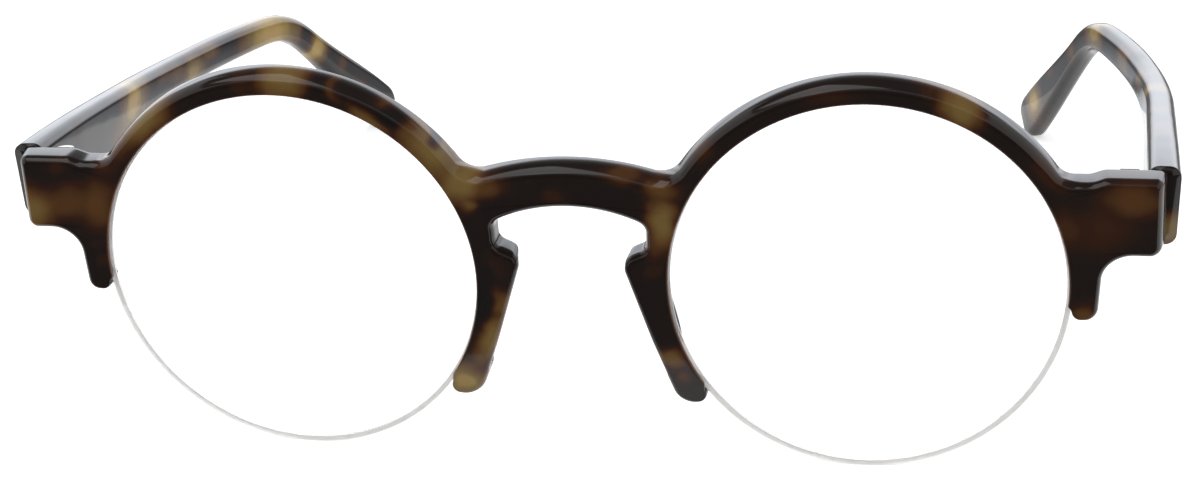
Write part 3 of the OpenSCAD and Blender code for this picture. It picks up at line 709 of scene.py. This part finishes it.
tip_r = TEMPLE_H[3] / 2
tip_from = TEMPLE_LEN - tip_r
stations = np.r_[np.linspace(0, tip_from, 300),
                 tip_from + tip_r * np.sin(np.linspace(0.04, 0.5, 34) * math.pi)]
fine = np.linspace(0, TEMPLE_LEN, 2781)
course = temple_course((fine[1:] + fine[:-1]) / 2)[0] * (fine[1] - fine[0])
run = np.concatenate([[[0, 0, 0]], np.cumsum(course, 0)])
run = run + [TEMPLE_X - TEMPLE_T[0] / 2, TEMPLE_Y, HINGE_UP]
line = np.stack([np.interp(stations, fine, run[:, i]) for i in range(3)], -1)
ahead, sideways, upward = temple_course(stations)
half_way, slim = TEMPLE_LEN / 2, BEND_AT + 6
high = np.where(
    stations < half_way, blend(TEMPLE_H[0], TEMPLE_H[1], 2 * stations / TEMPLE_LEN),
    np.where(stations < slim,
             blend(TEMPLE_H[1], TEMPLE_H[2], (stations - half_way) / (slim - half_way)),
             blend(TEMPLE_H[2], TEMPLE_H[3], (stations - slim) / (tip_from - slim))))
wide = TEMPLE_T[0] + (TEMPLE_T[1] - TEMPLE_T[0]) * stations / TEMPLE_LEN
# The tip is a half circle seen from the side, and a quarter circle in thickness
end_r = TEMPLE_T[1] / 2
high = high * np.sqrt(np.clip(1 - np.clip((stations - tip_from) / tip_r, 0, 1) ** 2, 0, 1))
wide = wide * np.sqrt(np.clip(1 - np.clip((stations - TEMPLE_LEN + end_r) / end_r, 0, 1) ** 2, 0, 1))


def oblong(w, h, r, steps=7):
    """Sideways and upward places round a rounded oblong, one row for each station."""
    a = np.radians(np.concatenate([np.linspace(90, 0, steps), np.linspace(0, -90, steps),
                                   np.linspace(-90, -180, steps), np.linspace(180, 90, steps)]))
    cx = np.repeat([1, 1, -1, -1], steps)
    cz = np.repeat([1, -1, -1, 1], steps)
    x = cx * (w / 2 - r)[:, None] + r[:, None] * np.cos(a)
    z = cz * (h / 2 - r)[:, None] + r[:, None] * np.sin(a)
    return x, z


def temple_shape(side):
    """The section swept along the course. The hinge end is cut square to the front."""
    x, z = oblong(wide, high, np.minimum(TEMPLE_EDGE, np.minimum(wide, high) / 2.15))
    p = line[:, None] + sideways[:, None] * x[..., None] + upward[:, None] * z[..., None]
    lag = np.clip(1 - stations / CUT_REACH, 0, 1)[:, None]
    cut = (TEMPLE_Y - p[:1, :, 1]) / ahead[0, 1]
    p = p + ahead[:1, None] * (cut * lag)[..., None]
    sheet = np.stack([np.broadcast_to(stations[:, None], x.shape), x * side, z], -1)
    return p * [side, 1, 1], sheet


# Clouds of the temples, mm from the hinge along the temple and up from its middle
right_pale = [
    (36.5, 1.0, 9.5, 5.4, 20, 1.0), (29.0, -2.0, 4.6, 3.2, 0, 0.6), (51.0, 1.5, 5.0, 2.0, 0, 0.55),
    (56.5, 0.6, 5.2, 2.6, 0, 0.62), (62.5, -0.6, 6.2, 3.4, 10, 0.92), (69.5, 1.2, 5.6, 2.4, 0, 0.7),
    (91.5, 0, 14.0, 6.5, 0, 1.0), (107.8, -0.4, 4.4, 5.0, 0, 1.0), (117.0, 0.5, 2.6, 2.4, 0, 0.5),
    (125.0, -1.0, 3.6, 2.4, 0, 0.55), (12.0, -2.5, 4.0, 2.2, 0, 0.42),
    (3.0, -3.0, 3.2, 2.4, 0, 0.7)]
right_dark = [(103.6, 0.6, 2.2, 3.0, 10, 0.6), (76.0, 0, 3.6, 3.0, 0, 0.6)]
left_pale = [
    (1.0, -3.0, 4.0, 2.8, 0, 0.85), (18.0, 3.6, 6.0, 2.4, 0, 0.5), (30.0, 2.5, 5.0, 2.2, 15, 0.6),
    (46.0, 2.0, 5.0, 2.2, 0, 0.95), (58.0, 1.4, 5.0, 2.0, 0, 0.85), (74.0, 0.8, 6.0, 2.4, 0, 0.8),
    (94.0, 0.8, 6.5, 3.6, 0, 0.95), (107.0, 0.5, 3.2, 2.6, 0, 0.62), (119.0, 1.5, 3.0, 1.8, 0, 0.5),
    (129.5, 0.6, 5.4, 4.6, 0, 1.0)]
left_dark = [(49.0, -1.4, 6.0, 1.6, 0, 0.8), (136.8, 0, 2.6, 4.0, 0, 0.7)]
clouds = {"left": (left_pale, left_dark), "right": (right_pale, right_dark)}
for side, word in SIDES:
    shape, sheet = temple_shape(side)
    index = numbered(shape)
    k = np.arange(shape.shape[1] // 2 - 1)
    caps = np.concatenate([np.stack([row[k], row[k + 1], row[-3 - k], row[-2 - k]], -1)
                           for row in (index[0], index[-1])])
    temple = make_piece("temple_polished_" + word, standing(shape.reshape(-1, 3)),
                        np.concatenate([quads(index), caps]), sheet.reshape(-1, 3),
                        f"temple_{word}_arm",
                        [tortoise_acetate("polished_tortoise_acetate_temple_" + word, *clouds[word])],
                        np.zeros(shape[..., 0].size))
    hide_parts("temple_" + word)


# Hinges and core wires.
# Five-barrel hinges of nickel silver, tumbled bright, their plates sunk into the acetate with heat,
# and cores of the same metal pushed into the temples to stiffen them.
nickel_silver, tree = blank_material("tumbled_nickel_silver")
place = add_node(tree, "ShaderNodeTexCoord")
brush = add_node(tree, "ShaderNodeTexNoise", {"Vector": place.outputs["Object"], "Scale": 2500.0})
rough = add_node(tree, "ShaderNodeMapRange", {0: brush.outputs["Fac"], 3: 0.18, 4: 0.34})
metal = add_node(tree, "ShaderNodeBsdfPrincipled", {"Base Color": linear("#A39E96"), "Metallic": 1.0,
                                                    "Roughness": rough.outputs[0]})
add_node(tree, "ShaderNodeOutputMaterial", {"Surface": metal.outputs[0]})
BARREL_R, BARREL_H, BARREL_STEP, LEAF_Z = 1.45, 1.1, 1.16, 2.9
HINGE_AT = np.array([64.9, FRONT_T + BARREL_R + 0.8, HINGE_UP])


def on_hinge(p, turn=0.0):
    """Turns points by an angle about the screw, then to the screw's slope and place."""
    t, a = math.radians(turn), math.radians(PITCH)
    x = p[..., 0] * math.cos(t) - p[..., 1] * math.sin(t)
    y = p[..., 0] * math.sin(t) + p[..., 1] * math.cos(t)
    return HINGE_AT + np.stack([x, y * math.cos(a) + p[..., 2] * math.sin(a),
                                p[..., 2] * math.cos(a) - y * math.sin(a)], -1)


def barrel(k, reach, bore):
    """A bored barrel with its neck along -y: in each direction the wall stands at the circle's
    radius on one side and at the box of the neck on the other. Points and faces."""
    corner = math.atan2(reach, BARREL_R)
    a = np.unique(np.r_[np.linspace(0, math.pi, 33), -np.linspace(0.0, math.pi, 41)[1:-1],
                        -corner, corner - math.pi])
    c, d = np.cos(a), np.sin(a)
    box = np.minimum(BARREL_R / np.maximum(np.abs(c), 1e-9), reach / np.maximum(np.abs(d), 1e-9))
    out = np.where(d >= -1e-9, BARREL_R, box)
    low = (k - 2) * BARREL_STEP - BARREL_H / 2
    rows = [(bore + 0 * out, low), (out, low), (out, low + BARREL_H), (bore + 0 * out, low + BARREL_H)]
    p = np.stack([np.stack([r * c, r * d, np.full(len(a), z)], -1) for r, z in rows])
    index = numbered(p)
    return p.reshape(-1, 3), quads(np.concatenate([index, index[:1]]))


def block(low, high):
    """A plain plate between two corners. Points and faces."""
    p = np.array([[(low, high)[i][0], (low, high)[j][1], (low, high)[k][2]]
                  for i in (0, 1) for j in (0, 1) for k in (0, 1)], float)
    return p, np.array([[0, 1, 3, 2], [4, 6, 7, 5], [0, 4, 5, 1], [2, 3, 7, 6], [0, 2, 6, 4],
                        [1, 5, 7, 3]])


# Plates and necks in mm from the screw, in each leaf's own square before it is turned
front_plate = block((-1.9, -3.9, -LEAF_Z), (1.45, -1.7, LEAF_Z))
temple_plate = block((-1.45, -2.9, -LEAF_Z), (8.05, -2.0, LEAF_Z))
leaves = {"front": ([barrel(k, 2.0, 0.62) for k in (0, 2, 4)] + [front_plate], 0.0, "frame"),
          "temple": ([barrel(k, 2.1, 0.64) for k in (1, 3)] + [temple_plate], 90 - SPLAY,
                     "temple_{}_arm")}
for side, word in SIDES:
    for kind, (shells, turn, body) in leaves.items():
        starts = np.cumsum([0] + [len(p) for p, _ in shells])
        points = on_hinge(np.concatenate([p for p, _ in shells]), turn) * [side, 1, 1]
        faces = np.concatenate([f + n for (_, f), n in zip(shells, starts)])
        leaf = make_piece(f"{kind}_hinge_leaf_turned_{word}", standing(points), faces, points,
                          body.format(word), [nickel_silver], merge=1e-7)
        rounding = leaf.modifiers.new("tumbled_edges", "BEVEL")
        rounding.width, rounding.segments, rounding.limit_method = 0.0001, 2, "ANGLE"
        rounding.angle_limit = math.radians(50)
        leaf.data.set_sharp_from_angle(angle=math.radians(35))
        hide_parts(f"{kind}_hinge_leaf_{word}")
    for kind in ("hinge_screw_", "core_wire_"):
        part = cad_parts[kind + word]
        part.data.materials.clear()
        part.data.materials.append(nickel_silver)
